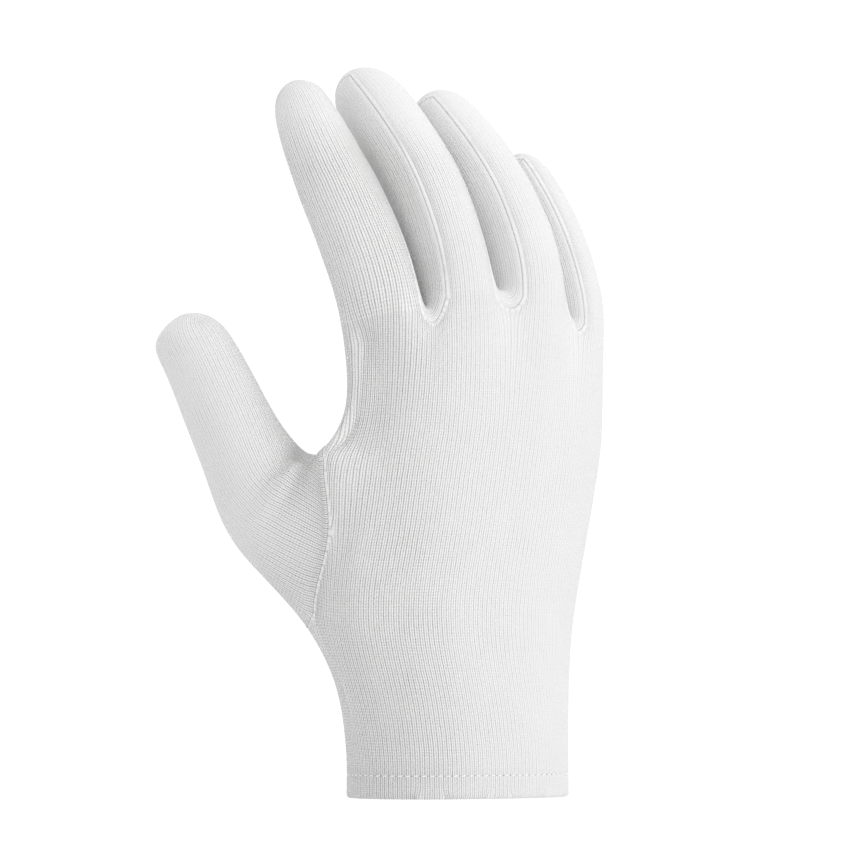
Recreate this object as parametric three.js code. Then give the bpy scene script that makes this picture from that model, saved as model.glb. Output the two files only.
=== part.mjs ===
// Knitted cotton work glove for the right hand, in the form it has when worn.
// Millimetres. +Z runs from the cuff to the fingertips, the back of the hand faces -Y,
// the thumb is on the -X side. The origin is the centre of the hand opening, in the hem's lower edge.
//
// The outer skin is a coarse cage of four-sided faces: rings round the palm, the fingers and the thumb.
// Smoothing the cage by Catmull-Clark steps gives the skin, and each cut piece of the glove is
// the part of that skin between its seams, thickened inwards to the wall of the knit.

import * as THREE from 'three';

// Driving dimensions of the worn glove

const HEM_HEIGHT = 7.2;
const CUFF_BREADTH = 73.6;
const CUFF_DEPTH = 49;
const PALM_LENGTH = 150;
const PALM_BREADTH = 92;
const PALM_DEPTH = 31;

const INDEX_LENGTH = 83;
const MIDDLE_LENGTH = 84.5;
const RING_LENGTH = 72.5;
const LITTLE_LENGTH = 56.5;
const INDEX_BREADTH = 27.4;
const FINGER_BREADTH = 25;
const FINGER_DEPTH = 24.5;
const LITTLE_BREADTH = 22.5;
const LITTLE_DEPTH = 20;
const WEB_DROP = 4;

const THUMB_LENGTH = 69;
const THUMB_BREADTH = 25;
const THUMB_DEPTH = 23;
const THUMB_SWING = 47;

const KNIT_WALL = 1.2;
const HEM_WALL = 2.2;
const SEAM_GAP = 0.3;
const FOLD_DEPTH = 1.8;
const FOLD_WIDTH = 2.6;
const DENT_DEPTH = 4.6;
const DENT_WIDTH = 7.5;

// Rings of the palm, from the hem to below the knuckles.
// up: height as a share of PALM_LENGTH. shift: centre across, and cup: how far the edge on the little
// finger's side turns to the palm, as shares of the ring's own breadth and depth.
// palm: how far the ring has turned from the cuff's breadth and depth to the palm's, 0 to 1.
// breadth, back, front: shares of the breadth, and of half the depth to the back and to the palm.
// mouth: 1 for the rings that the mouth of the thumb reaches.

const PALM_RINGS = [
  { up: 0.22, shift: -0.018, palm: 0.1, breadth: 1.035, back: 0.95, front: 0.95, cup: 0, mouth: 0 },
  { up: 0.375, shift: -0.058, palm: 0.4, breadth: 1.14, back: 0.95, front: 1.0, cup: 0.02, mouth: 1 },
  { up: 0.545, shift: 0.018, palm: 0.8, breadth: 1.06, back: 1.0, front: 1.08, cup: 0.08, mouth: 1 },
  { up: 0.7, shift: 0.062, palm: 1, breadth: 1.06, back: 1.0, front: 1.05, cup: 0.15, mouth: 1 },
  { up: 0.79, shift: 0.095, palm: 1, breadth: 1.03, back: 0.95, front: 0.95, cup: 0.18, mouth: 0 },
];

// Fingers, from the thumb side. across, deep, up: centre of the base as shares of PALM_BREADTH,
// PALM_DEPTH and PALM_LENGTH. spread: lean to the little finger's side, turn: twist of the back of the
// finger to that side, knuckle, middle, end: bend to the palm at the three joints, in degrees.
// root, blunt: breadth of the rings at the base and at the tip, beside the table below.
// web: share of WEB_DROP on the far side, lap: how far the seam on that side comes round to the back
// at the base, in degrees.

const FINGERS = [
  { name: 'index', length: INDEX_LENGTH, breadth: INDEX_BREADTH, depth: FINGER_DEPTH,
    across: -0.28, deep: 0.03, up: 1.0, spread: -6.7, turn: 0, knuckle: 24, middle: 12, end: -8,
    root: 1, blunt: 0.88, web: 0.9, lap: 26 },
  { name: 'middle', length: MIDDLE_LENGTH, breadth: FINGER_BREADTH, depth: FINGER_DEPTH,
    across: -0.015, deep: -0.035, up: 1.05, spread: -4.8, turn: 3, knuckle: 17, middle: 24, end: 8,
    root: 0.94, blunt: 1.08, web: 0.2, lap: 0 },
  { name: 'ring', length: RING_LENGTH, breadth: FINGER_BREADTH, depth: FINGER_DEPTH,
    across: 0.27, deep: 0.013, up: 1.05, spread: -2.9, turn: 18, knuckle: 15, middle: 22, end: 6,
    root: 1.03, blunt: 1.0, web: 1, lap: 0 },
  { name: 'little', length: LITTLE_LENGTH, breadth: LITTLE_BREADTH, depth: LITTLE_DEPTH,
    across: 0.516, deep: 0.25, up: 0.985, spread: 2.4, turn: 40, knuckle: 12, middle: 13, end: 5,
    root: 1, blunt: 1.0, web: 0, lap: 0 },
];

// Rings of a finger. along: share of its length, breadth and depth: shares of its own,
// seam: angle between the middle of the back and the seam of the side strip, in degrees.
// square: how far the seam corners stand out, press: how far the side corners do where the next finger
// presses on them, base, tip: how far the finger's own root, lap and bluntness count.
// TIP_REACH: place of the cage's point, a little beyond the tip.

const FINGER_RINGS = [
  { along: 0.0, breadth: 1.0, depth: 1.0, seam: 50, square: 1.06, press: 0.88, base: 1, tip: 0 },
  { along: 0.2, breadth: 1.02, depth: 1.0, seam: 50, square: 1.0, press: 0.9, base: 0.45, tip: 0 },
  { along: 0.42, breadth: 0.98, depth: 0.98, seam: 50, square: 1, press: 0.9, base: 0, tip: 0 },
  { along: 0.63, breadth: 0.93, depth: 0.93, seam: 50, square: 1, press: 0.9, base: 0, tip: 0.3 },
  { along: 0.83, breadth: 0.86, depth: 0.86, seam: 50, square: 1, press: 0.9, base: 0, tip: 1 },
  { along: 0.96, breadth: 0.66, depth: 0.64, seam: 50, square: 1, press: 0.95, base: 0, tip: 1 },
];
const TIP_REACH = 1.045;

// Mouth of the thumb, round its eight corners from the low end on the back of the hand.
// out: place across as a share of PALM_BREADTH, deep: of PALM_DEPTH, up: of PALM_LENGTH.

const THUMB_MOUTH = [
  { out: -0.56, deep: 0.22, up: 0.37 },
  { out: -0.472, deep: -0.06, up: 0.54 },
  { out: -0.575, deep: 0.06, up: 0.7 },
  { out: -0.44, deep: 0.34, up: 0.73 },
  { out: -0.3, deep: 0.54, up: 0.69 },
  { out: -0.26, deep: 0.66, up: 0.545 },
  { out: -0.33, deep: 0.7, up: 0.4 },
  { out: -0.47, deep: 0.56, up: 0.345 },
];

// Rings of the thumb, in the upright plane that it swings out in. out: distance from the middle of the
// hand and up: height, as shares of THUMB_LENGTH, measured from the thumb's root. breadth, depth: shares
// of its own. fan: angle between the ring and the level, in degrees.

const THUMB_ROOT = { out: 0.4, deep: 0.7, up: 0.54 };
const THUMB_RINGS = [
  { out: 0.284, up: 0.185, breadth: 1.44, depth: 1.38, fan: 47 },
  { out: 0.386, up: 0.4, breadth: 1.08, depth: 1.1, fan: 29 },
  { out: 0.492, up: 0.61, breadth: 1.02, depth: 1.0, fan: 26 },
  { out: 0.585, up: 0.81, breadth: 0.96, depth: 0.94, fan: 22 },
  { out: 0.662, up: 0.925, breadth: 0.92, depth: 0.8, fan: 20 },
];
const THUMB_TIP = { out: 0.67, up: 1.08 };

// Folds of the knit between thumb and hand, on the back, in the thumb's plane and in its shares.
// Each runs from the web by a middle point to its end, where it has faded out.

const THUMB_FOLDS = [
  { from: [0.1, 0.38], by: [0.2, 0.28], to: [0.36, 0.13], depth: 1 },
  { from: [0.06, 0.37], by: [0.1, 0.23], to: [0.26, 0.05], depth: 0.8 },
];

// Soft dent of the hand between index finger and thumb, on the back, seen square from behind.
// Each point is a place across as a share of PALM_BREADTH and a height as a share of PALM_LENGTH.

const HAND_DENT = [
  [-0.38, 0.935],
  [-0.35, 0.83],
  [-0.425, 0.748],
];

// Steps between the columns round the palm, where a finger's own are 1: beside the edges of the hand,
// and beside a web. SQUARENESS: 2 makes the palm's rings ellipses, more makes them fuller.

const SIDE_STEP = 1;
const WEB_STEP = 0.5;
const SQUARENESS = 2.3;

const rad = THREE.MathUtils.degToRad;
const mix = THREE.MathUtils.lerp;

// Cage under construction: its corners, and its faces with the name of the piece that each is cut from

const corners = [];
const faces = [];

function corner(x, y, z) {
  corners.push(new THREE.Vector3(x, y, z));
  return corners.length - 1;
}

function face(piece, ...loop) {
  faces.push({ piece, loop });
}

function stripBetween(fingerNumber) {
  return `fourchette_${FINGERS[fingerNumber].name}_${FINGERS[fingerNumber + 1].name}`;
}

// Columns round the palm: the radial side, three for each finger and one for each web on the back,
// the little finger's side, and the same in reverse on the palm. share: place round the ring, 0 to 1

function columnShares() {
  const steps = [SIDE_STEP];
  FINGERS.forEach((finger, number) => {
    steps.push(1, 1);
    if (number < FINGERS.length - 1) steps.push(WEB_STEP, WEB_STEP);
  });
  steps.push(SIDE_STEP);
  const around = [...steps, ...steps.slice().reverse()];
  const total = around.reduce((sum, step) => sum + step, 0);
  let place = 0;
  return around.map((step) => {
    const share = place / total;
    place += step;
    return share;
  });
}

// One level ring: points at equal shares of its outline, back half first

function palmRing(ring, shares) {
  const samples = 64;
  const half = (side) => {
    const outline = [];
    for (let i = 0; i <= samples; i += 1) {
      const angle = Math.PI * i / samples;
      const across = -Math.sign(Math.cos(angle)) * Math.abs(Math.cos(angle)) ** (2 / SQUARENESS);
      const deep = Math.sin(angle) ** (2 / SQUARENESS);
      const reach = side < 0 ? ring.back : ring.front;
      const cup = ring.cup * Math.max(across, 0) ** 2;
      outline.push(new THREE.Vector3(
        ring.shift + across * ring.breadth / 2, side * deep * reach + cup, ring.height));
    }
    return new THREE.CatmullRomCurve3(outline, false, 'centripetal');
  };
  const back = half(-1);
  const front = half(1);
  return shares.map((share) => {
    const point = share <= 0.5 ? back.getPointAt(share * 2) : front.getPointAt(2 - share * 2);
    return corner(point.x, point.y, point.z);
  });
}

function palmRingSizes(row) {
  const breadth = mix(CUFF_BREADTH, PALM_BREADTH, row.palm) * row.breadth;
  const depth = mix(CUFF_DEPTH, PALM_DEPTH, row.palm);
  return {
    height: row.up * PALM_LENGTH,
    mouth: row.mouth,
    shift: row.shift * breadth,
    breadth,
    back: row.back * depth / 2,
    front: row.front * depth / 2,
    cup: row.cup * depth,
  };
}

// Eight corners round a tube, from the thumb side over the back: side, seam, back, seam, side,
// seam, front, seam. The cage stands off the skin, so each half width is raised to make up for it.
// stands: how far each corner stands out, as a share. lap: as in FINGERS.

function tubeAngles(seam, lap) {
  return [-90, -seam, 0, seam - lap, 90, 180 - seam, 180, seam - 180].map(rad);
}

function tubeRing(centre, across, out, breadth, depth, seam, lap, stands) {
  const wide = breadth / 2 * 6 / (4 + 2 * Math.sin(rad(seam)));
  const deep = depth / 2 * 6 / (4 + 2 * Math.cos(rad(seam)));
  return tubeAngles(seam, lap).map((angle, i) => {
    const point = centre.clone()
      .addScaledVector(across, Math.sin(angle) * wide * stands[i])
      .addScaledVector(out, Math.cos(angle) * deep * stands[i]);
    return corner(point.x, point.y, point.z);
  });
}

// Where a finger's centre line is at a share of its length, and which way it points there

function fingerPlace(finger, along) {
  const steps = 24;
  const back = new THREE.Vector3(Math.sin(rad(finger.turn)), -Math.cos(rad(finger.turn)), 0);
  const side = new THREE.Vector3(Math.cos(rad(finger.turn)), Math.sin(rad(finger.turn)), 0);
  const up = new THREE.Vector3(0, 0, 1);
  const bendAt = (share) => rad(finger.knuckle * THREE.MathUtils.smoothstep(share, -0.15, 0.15)
    + finger.middle * THREE.MathUtils.smoothstep(share, 0.15, 0.5)
    + finger.end * THREE.MathUtils.smoothstep(share, 0.5, 0.8));
  const headingAt = (share) => up.clone().multiplyScalar(Math.cos(bendAt(share)))
    .addScaledVector(back, -Math.sin(bendAt(share)))
    .addScaledVector(side, Math.tan(rad(finger.spread)))
    .normalize();
  const centre = new THREE.Vector3(
    finger.across * PALM_BREADTH, finger.deep * PALM_DEPTH, finger.up * PALM_LENGTH);
  for (let i = 0; i < steps; i += 1) {
    const middle = (i + 0.5) / steps * along;
    centre.addScaledVector(headingAt(middle), finger.length * along / steps);
  }
  const heading = headingAt(along);
  const out = up.clone().multiplyScalar(Math.sin(bendAt(along)))
    .addScaledVector(back, Math.cos(bendAt(along)));
  const across = heading.clone().cross(out).normalize();
  out.crossVectors(across, heading).normalize();
  return { centre, across, out };
}

function fingerRings(finger, number) {
  return FINGER_RINGS.map((ring) => {
    const place = fingerPlace(finger, ring.along);
    const breadth = finger.breadth * ring.breadth * mix(1, finger.root, ring.base);
    const blunt = mix(1, finger.blunt, ring.tip);
    const thumbSide = number > 0 ? ring.press : 1;
    const farSide = number < FINGERS.length - 1 ? ring.press : 1;
    const stands = [thumbSide, ring.square, 1, ring.square, farSide, ring.square, 1, ring.square];
    return tubeRing(place.centre, place.across, place.out, breadth * blunt,
      finger.depth * ring.depth * blunt, ring.seam, finger.lap * ring.base, stands);
  });
}

// Faces between two rings, and the four faces that close a tip

function tubeWall(lower, upper, pieceOf) {
  lower.forEach((start, i) => {
    const next = (i + 1) % lower.length;
    face(pieceOf(i), start, lower[next], upper[next], upper[i]);
  });
}

function tipCap(ring, tip, piece) {
  for (let i = 0; i < ring.length; i += 2) {
    face(piece, ring[i], ring[i + 1], ring[(i + 2) % ring.length], tip);
  }
}

function buildFingers() {
  return FINGERS.map((finger, number) => {
    const rings = fingerRings(finger, number);
    const pieceOf = (column) => {
      const thumbSide = column === 0 || column === 7;
      const farSide = column === 3 || column === 4;
      if (thumbSide && number > 0) return stripBetween(number - 1);
      if (farSide && number < FINGERS.length - 1) return stripBetween(number);
      return 'hand_panel';
    };
    for (let i = 0; i + 1 < rings.length; i += 1) tubeWall(rings[i], rings[i + 1], pieceOf);
    const end = fingerPlace(finger, TIP_REACH).centre;
    tipCap(rings.at(-1), corner(end.x, end.y, end.z), 'hand_panel');
    return rings[0];
  });
}

// The web between two fingers: three corners, lower than the fingers' base rings, and four faces

function buildWeb(number, bases) {
  const near = bases[number];
  const far = bases[number + 1];
  const between = (a, b) => {
    const middle = corners[a].clone().add(corners[b]).multiplyScalar(0.5);
    return corner(middle.x, middle.y, middle.z - WEB_DROP * FINGERS[number].web);
  };
  const web = { back: between(near[3], far[1]), middle: between(near[4], far[0]),
    front: between(near[5], far[7]) };
  const strip = stripBetween(number);
  face(strip, near[4], near[3], web.back, web.middle);
  face(strip, far[1], far[0], web.middle, web.back);
  face(strip, near[5], near[4], web.middle, web.front);
  face(strip, far[0], far[7], web.front, web.middle);
  return web;
}

// The palm's top row follows the fingers' base rings and the webs between them

function knuckleRow(bases, webs) {
  const row = [bases[0][0]];
  bases.forEach((base, number) => {
    row.push(base[1], base[2], base[3]);
    if (number < webs.length) row.push(webs[number].back);
  });
  row.push(bases.at(-1)[4]);
  for (let number = bases.length - 1; number >= 0; number -= 1) {
    row.push(bases[number][5], bases[number][6], bases[number][7]);
    if (number > 0) row.push(webs[number - 1].front);
  }
  return row;
}

function buildPalm(topRow) {
  const shares = columnShares();
  const hemRings = [0, HEM_HEIGHT, 2 * HEM_HEIGHT].map((height) => ({
    height, mouth: 0, shift: 0, cup: 0,
    breadth: CUFF_BREADTH, back: CUFF_DEPTH / 2, front: CUFF_DEPTH / 2 }));
  const levels = [...hemRings, ...PALM_RINGS.map(palmRingSizes)];
  const rows = [...levels.map((ring) => palmRing(ring, shares)), topRow];
  const last = shares.length - 1;
  const [low, middle, high] = levels.flatMap((ring, i) => (ring.mouth ? [i] : []));
  for (let i = 0; i + 1 < rows.length; i += 1) {
    const cut = i >= low && i < high;
    rows[i].forEach((start, column) => {
      if (cut && column >= last - 1) return;
      const next = (column + 1) % rows[i].length;
      const piece = i === 0 ? 'cuff_hem' : 'hand_panel';
      face(piece, start, rows[i][next], rows[i + 1][next], rows[i + 1][column]);
    });
  }
  const mouth = [rows[low][0], rows[middle][0], rows[high][0], rows[high][last],
    rows[high][last - 1], rows[middle][last - 1], rows[low][last - 1], rows[low][last]];
  mouth.forEach((number, i) => {
    const place = THUMB_MOUTH[i];
    corners[number].set(place.out * PALM_BREADTH, place.deep * PALM_DEPTH, place.up * PALM_LENGTH);
  });
  return mouth;
}

// The thumb swings out in an upright plane: outward lies in it, backward stands on it

const swing = rad(THUMB_SWING);
const outward = new THREE.Vector3(-Math.cos(swing), Math.sin(swing), 0);
const backward = new THREE.Vector3(-Math.sin(swing), -Math.cos(swing), 0);
const thumbRoot = outward.clone().multiplyScalar(THUMB_ROOT.out * PALM_BREADTH)
  .addScaledVector(backward, THUMB_ROOT.deep * PALM_DEPTH)
  .setZ(THUMB_ROOT.up * PALM_LENGTH);

function thumbPlace(out, up) {
  return thumbRoot.clone().addScaledVector(outward, out * THUMB_LENGTH)
    .add(new THREE.Vector3(0, 0, up * THUMB_LENGTH));
}

function thumbRing(row) {
  const webward = outward.clone().multiplyScalar(-Math.cos(rad(row.fan)))
    .add(new THREE.Vector3(0, 0, Math.sin(rad(row.fan))));
  const standOff = 6 / (4 + 2 * Math.cos(Math.PI / 4));
  const wide = THUMB_BREADTH * row.breadth / 2 * standOff;
  const deep = THUMB_DEPTH * row.depth / 2 * standOff;
  return [135, 90, 45, 0, -45, -90, -135, 180].map((degrees) => {
    const point = thumbPlace(row.out, row.up)
      .addScaledVector(webward, Math.cos(rad(degrees)) * wide)
      .addScaledVector(backward, Math.sin(rad(degrees)) * deep);
    return corner(point.x, point.y, point.z);
  });
}

function buildThumb(mouth) {
  const rings = THUMB_RINGS.map(thumbRing);
  const gusset = mouth.map((number, i) => {
    const point = corners[number].clone().lerp(corners[rings[0][i]], 0.5);
    return corner(point.x, point.y, point.z);
  });
  [mouth, gusset, ...rings].forEach((ring, i, all) => {
    if (i > 0) tubeWall(all[i - 1], ring, () => 'thumb');
  });
  const tip = thumbPlace(THUMB_TIP.out, THUMB_TIP.up);
  tipCap(rings.at(-1), corner(tip.x, tip.y, tip.z), 'thumb');
}

// How deep a fold or dent lies at a spot of the plane its course is drawn in, as a share of its depth.
// fading: how much of it is lost on the way from the start of the course to its end.

function courseOf(points, across, up) {
  const spots = points.map(([out, high]) => new THREE.Vector2(out * across, high * up));
  return new THREE.SplineCurve(spots).getPoints(16);
}

function pressedAt(spot, course, width, fading) {
  const shares = course.map((point, i) => {
    const away = point.distanceTo(spot) / width;
    return (1 - fading * i / course.length) * Math.exp(-away * away);
  });
  return Math.max(...shares);
}

const thumbCourses = THUMB_FOLDS.map((fold) => ({
  depth: fold.depth * FOLD_DEPTH,
  course: courseOf([fold.from, fold.by, fold.to], THUMB_LENGTH, THUMB_LENGTH),
}));
const dentCourse = courseOf(HAND_DENT, PALM_BREADTH, PALM_LENGTH);

function thumbFoldDepth(point) {
  const place = point.clone().sub(thumbRoot);
  const spot = new THREE.Vector2(place.dot(outward), place.z);
  return Math.max(...thumbCourses.map(({ depth, course }) => depth * pressedAt(spot, course, FOLD_WIDTH, 1)));
}

function handDentDepth(point) {
  return DENT_DEPTH * pressedAt(new THREE.Vector2(point.x, point.z), dentCourse, DENT_WIDTH, 0);
}

// The skin with the folds of the thumb and the dent of the hand pressed in. They face the back of the
// hand and fade out before the thumb's seam.

function pressFolds(mesh, normals) {
  const thumb = new Set();
  const panel = new Set();
  const rest = new Set();
  mesh.faces.forEach(({ piece, loop }) => {
    const own = { thumb, hand_panel: panel }[piece] ?? rest;
    loop.forEach((c) => own.add(c));
  });
  const seam = [...thumb].filter((c) => panel.has(c));
  const pressed = mesh.corners.map((point, c) => {
    if (!thumb.has(c) && (!panel.has(c) || rest.has(c))) return point;
    const seamAway = Math.min(...seam.map((other) => mesh.corners[other].distanceTo(point)));
    const facing = thumb.has(c)
      ? THREE.MathUtils.smoothstep(normals[c].dot(backward), -0.2, 0.5)
      : THREE.MathUtils.smoothstep(-normals[c].y, -0.1, 0.4);
    const [depth, reach] = thumb.has(c)
      ? [thumbFoldDepth(point), 3 * FOLD_WIDTH]
      : [handDentDepth(point), DENT_WIDTH];
    const fade = THREE.MathUtils.smoothstep(seamAway, 0, reach);
    return point.clone().addScaledVector(normals[c], -depth * facing * fade);
  });
  return { corners: pressed, faces: mesh.faces };
}

// Catmull-Clark: every face splits in four, and corners move to the smooth average of what is round them

function edgesOf(mesh) {
  const edges = new Map();
  mesh.faces.forEach((item, number) => {
    item.loop.forEach((a, i) => {
      const b = item.loop[(i + 1) % item.loop.length];
      const key = a < b ? `${a}_${b}` : `${b}_${a}`;
      if (!edges.has(key)) edges.set(key, { a, b, faces: [] });
      edges.get(key).faces.push(number);
    });
  });
  return edges;
}

function average(points) {
  const sum = new THREE.Vector3();
  points.forEach((point) => sum.add(point));
  return sum.divideScalar(points.length);
}

function subdivide(mesh) {
  const edges = edgesOf(mesh);
  const centres = mesh.faces.map((item) => average(item.loop.map((c) => mesh.corners[c])));
  const touching = mesh.corners.map(() => ({ faces: new Set(), middles: [], rim: [] }));
  const next = mesh.corners.map((point) => point.clone());
  const facePoint = centres.map((point) => next.push(point) - 1);
  edges.forEach((edge) => {
    const ends = [mesh.corners[edge.a], mesh.corners[edge.b]];
    const middle = average(ends);
    const open = edge.faces.length === 1;
    edge.point = next.push(open ? middle : average([...ends, ...edge.faces.map((f) => centres[f])])) - 1;
    [edge.a, edge.b].forEach((c) => {
      edge.faces.forEach((f) => touching[c].faces.add(f));
      touching[c].middles.push(middle);
      if (open) touching[c].rim.push(middle);
    });
  });
  mesh.corners.forEach((point, c) => {
    const around = touching[c];
    if (around.rim.length) {
      next[c].copy(point).multiplyScalar(0.5).addScaledVector(average(around.rim), 0.5);
      return;
    }
    const count = around.faces.size;
    next[c].copy(average([...around.faces].map((f) => centres[f])))
      .addScaledVector(average(around.middles), 2)
      .addScaledVector(point, count - 3)
      .divideScalar(count);
  });
  const edgePoint = (a, b) => edges.get(a < b ? `${a}_${b}` : `${b}_${a}`).point;
  const split = [];
  mesh.faces.forEach((item, number) => {
    item.loop.forEach((c, i) => {
      const after = item.loop[(i + 1) % item.loop.length];
      const before = item.loop.at(i - 1);
      split.push({ piece: item.piece,
        loop: [c, edgePoint(c, after), facePoint[number], edgePoint(before, c)] });
    });
  });
  return { corners: next, faces: split };
}

// Moves each corner to where endless smoothing would leave it

function settle(mesh) {
  const sums = mesh.corners.map(() => ({
    edges: new THREE.Vector3(), across: new THREE.Vector3(), count: 0, rim: [] }));
  edgesOf(mesh).forEach((edge) => {
    [[edge.a, edge.b], [edge.b, edge.a]].forEach(([c, other]) => {
      sums[c].edges.add(mesh.corners[other]);
      if (edge.faces.length === 1) sums[c].rim.push(mesh.corners[other]);
    });
  });
  mesh.faces.forEach((item) => item.loop.forEach((c, i) => {
    sums[c].across.add(mesh.corners[item.loop[(i + 2) % 4]]);
    sums[c].count += 1;
  }));
  const settled = mesh.corners.map((point, c) => {
    const { edges, across, count, rim } = sums[c];
    if (rim.length) return point.clone().multiplyScalar(4).add(rim[0]).add(rim[1]).divideScalar(6);
    return point.clone().multiplyScalar(count * count).addScaledVector(edges, 4).add(across)
      .divideScalar(count * (count + 5));
  });
  return { corners: settled, faces: mesh.faces };
}

function normalsOf(mesh) {
  const normals = mesh.corners.map(() => new THREE.Vector3());
  mesh.faces.forEach(({ loop }) => {
    const [a, b, c, d] = loop.map((n) => mesh.corners[n]);
    const normal = c.clone().sub(a).cross(d.clone().sub(b));
    loop.forEach((n) => normals[n].add(normal));
  });
  return normals.map((normal) => normal.normalize());
}

// Cuts one piece out of the skin, draws its seam edges back by half the seam gap, and thickens it inwards

function cutPiece(mesh, normals, piece, wall) {
  const own = mesh.faces.filter((item) => item.piece === piece);
  const skinEdges = edgesOf(mesh);
  const seamward = new Map();
  const rims = [];
  edgesOf({ faces: own }).forEach((edge, key) => {
    if (edge.faces.length > 1) return;
    rims.push(edge);
    if (skinEdges.get(key).faces.length === 1) return;
    const along = mesh.corners[edge.b].clone().sub(mesh.corners[edge.a]).normalize();
    const normal = normals[edge.a].clone().add(normals[edge.b]).normalize();
    const inward = normal.cross(along).normalize();
    [edge.a, edge.b].forEach((c) => {
      if (!seamward.has(c)) seamward.set(c, []);
      seamward.get(c).push(inward);
    });
  });
  const positions = [];
  const outer = new Map();
  own.forEach((item) => item.loop.forEach((c) => {
    if (outer.has(c)) return;
    const point = mesh.corners[c].clone();
    const pulls = seamward.get(c) ?? [];
    if (pulls.length === 1) point.addScaledVector(pulls[0], SEAM_GAP / 2);
    if (pulls.length === 2) {
      const sum = pulls[0].clone().add(pulls[1]);
      point.addScaledVector(sum, SEAM_GAP / 2 / (1 + pulls[0].dot(pulls[1])));
    }
    const normal = normals[c].clone();
    if (mesh.corners[c].z < HEM_HEIGHT / 100) normal.setZ(0).normalize();
    const inner = point.clone().addScaledVector(normal, -wall);
    outer.set(c, positions.length / 3);
    positions.push(point.x, point.y, point.z, inner.x, inner.y, inner.z);
  }));
  const triangles = [];
  own.forEach(({ loop }) => {
    const [a, b, c, d] = loop.map((n) => outer.get(n));
    triangles.push(a, b, c, a, c, d, a + 1, c + 1, b + 1, a + 1, d + 1, c + 1);
  });
  rims.forEach((edge) => {
    const a = outer.get(edge.a);
    const b = outer.get(edge.b);
    triangles.push(a, a + 1, b + 1, a, b + 1, b);
  });
  const geometry = new THREE.BufferGeometry();
  geometry.setAttribute('position', new THREE.Float32BufferAttribute(positions, 3));
  geometry.setIndex(triangles);
  geometry.computeVertexNormals();
  return geometry;
}

const bases = buildFingers();
const webs = bases.slice(1).map((_, number) => buildWeb(number, bases));
const mouth = buildPalm(knuckleRow(bases, webs));
buildThumb(mouth);

const onceSmoothed = subdivide({ corners, faces });
const skin = settle(onceSmoothed);
const skinNormals = normalsOf(skin);
const smoothThumb = settle(subdivide(onceSmoothed));
const fineSkin = pressFolds(smoothThumb, normalsOf(smoothThumb));
const fineNormals = normalsOf(fineSkin);

const bleachedCotton = { color: '#f2f2f0', roughness: 0.92, metalness: 0 };

const glove = new THREE.Group();
const pieceNames = [...new Set(faces.map((item) => item.piece))];
pieceNames.forEach((piece) => {
  const wall = piece === 'cuff_hem' ? HEM_WALL : KNIT_WALL;
  const geometry = piece === 'thumb'
    ? cutPiece(fineSkin, fineNormals, piece, wall)
    : cutPiece(skin, skinNormals, piece, wall);
  const mesh = new THREE.Mesh(geometry, new THREE.MeshStandardMaterial(bleachedCotton));
  mesh.name = piece;
  glove.add(mesh);
});

export default glove;
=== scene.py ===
# %% [markdown]
# # A white knitted cotton work glove
#
# The glove is sewn from soft interlock knit: one blank folded round the index side makes the back, the
# palm and both faces of the fingers, narrow side strips (fourchettes) widen the gaps between the fingers,
# the thumb is a tube set into an oval mouth, and the cuff ends in a turned, stitched hem. Worn, the knit
# is stretched smooth, so the whole outer skin is one flowing surface. I make that surface first, as a
# coarse cage that subdivision rounds off, and then cut it along its seams into the sewn pieces.

# %% Load the frame
import math

import bpy
import numpy as np
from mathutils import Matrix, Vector, noise
from mathutils.kdtree import KDTree


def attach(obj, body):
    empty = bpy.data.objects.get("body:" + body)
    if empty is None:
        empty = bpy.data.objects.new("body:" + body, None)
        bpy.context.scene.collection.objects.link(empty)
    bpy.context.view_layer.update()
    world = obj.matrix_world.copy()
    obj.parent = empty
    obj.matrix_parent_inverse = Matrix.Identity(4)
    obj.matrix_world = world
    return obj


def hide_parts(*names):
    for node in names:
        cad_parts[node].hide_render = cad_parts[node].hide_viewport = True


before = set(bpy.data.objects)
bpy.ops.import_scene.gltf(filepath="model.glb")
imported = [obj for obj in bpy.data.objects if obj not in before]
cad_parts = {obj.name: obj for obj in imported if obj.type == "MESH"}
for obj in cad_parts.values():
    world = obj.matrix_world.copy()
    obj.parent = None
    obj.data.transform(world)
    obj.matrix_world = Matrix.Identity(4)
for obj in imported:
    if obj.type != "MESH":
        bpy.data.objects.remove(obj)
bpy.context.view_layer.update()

print("the frame holds", sorted(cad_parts))

# %% [markdown]
# ## Sizes
#
# All sizes are millimetres of the worn glove, about a men's 9 to 10. Lengths inside the tables are shares
# of these named sizes, so a change of one size carries the rest along. `THUMB_SWING` is in degrees, and
# `RIB` is one repeat of the knit, which holds two fine ribs.

# %% Sizes of the worn glove
HEM_HEIGHT = 7.2
CUFF_BREADTH, CUFF_DEPTH = 73.6, 49
PALM_LENGTH, PALM_BREADTH, PALM_DEPTH = 150, 92, 31
INDEX_LENGTH, MIDDLE_LENGTH, RING_LENGTH, LITTLE_LENGTH = 83, 84.5, 72.5, 56.5
INDEX_BREADTH, FINGER_BREADTH, FINGER_DEPTH = 27.4, 25, 24.5
LITTLE_BREADTH, LITTLE_DEPTH = 22.5, 20
WEB_DROP = 4
THUMB_LENGTH, THUMB_BREADTH, THUMB_DEPTH, THUMB_SWING = 69, 25, 23, 47
KNIT_WALL, HEM_WALL = 1.2, 2.2
FOLD_DEPTH, FOLD_WIDTH = 3.4, 2.6
DENT_DEPTH, DENT_WIDTH = 4.6, 7.5
RIB = 1.64
print("cuff", CUFF_BREADTH, "x", CUFF_DEPTH, "mm, palm", PALM_BREADTH, "x", PALM_DEPTH, "mm")

# %% [markdown]
# ## The hand's form in tables
#
# Five rings shape the hand between hem and knuckles. Each says how high it sits, how far it leans
# sideways, how far it has turned from cuff to palm, its breadth and its half depths, how much the
# little finger's edge curls to the palm, and whether the mouth of the thumb reaches it.

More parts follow.
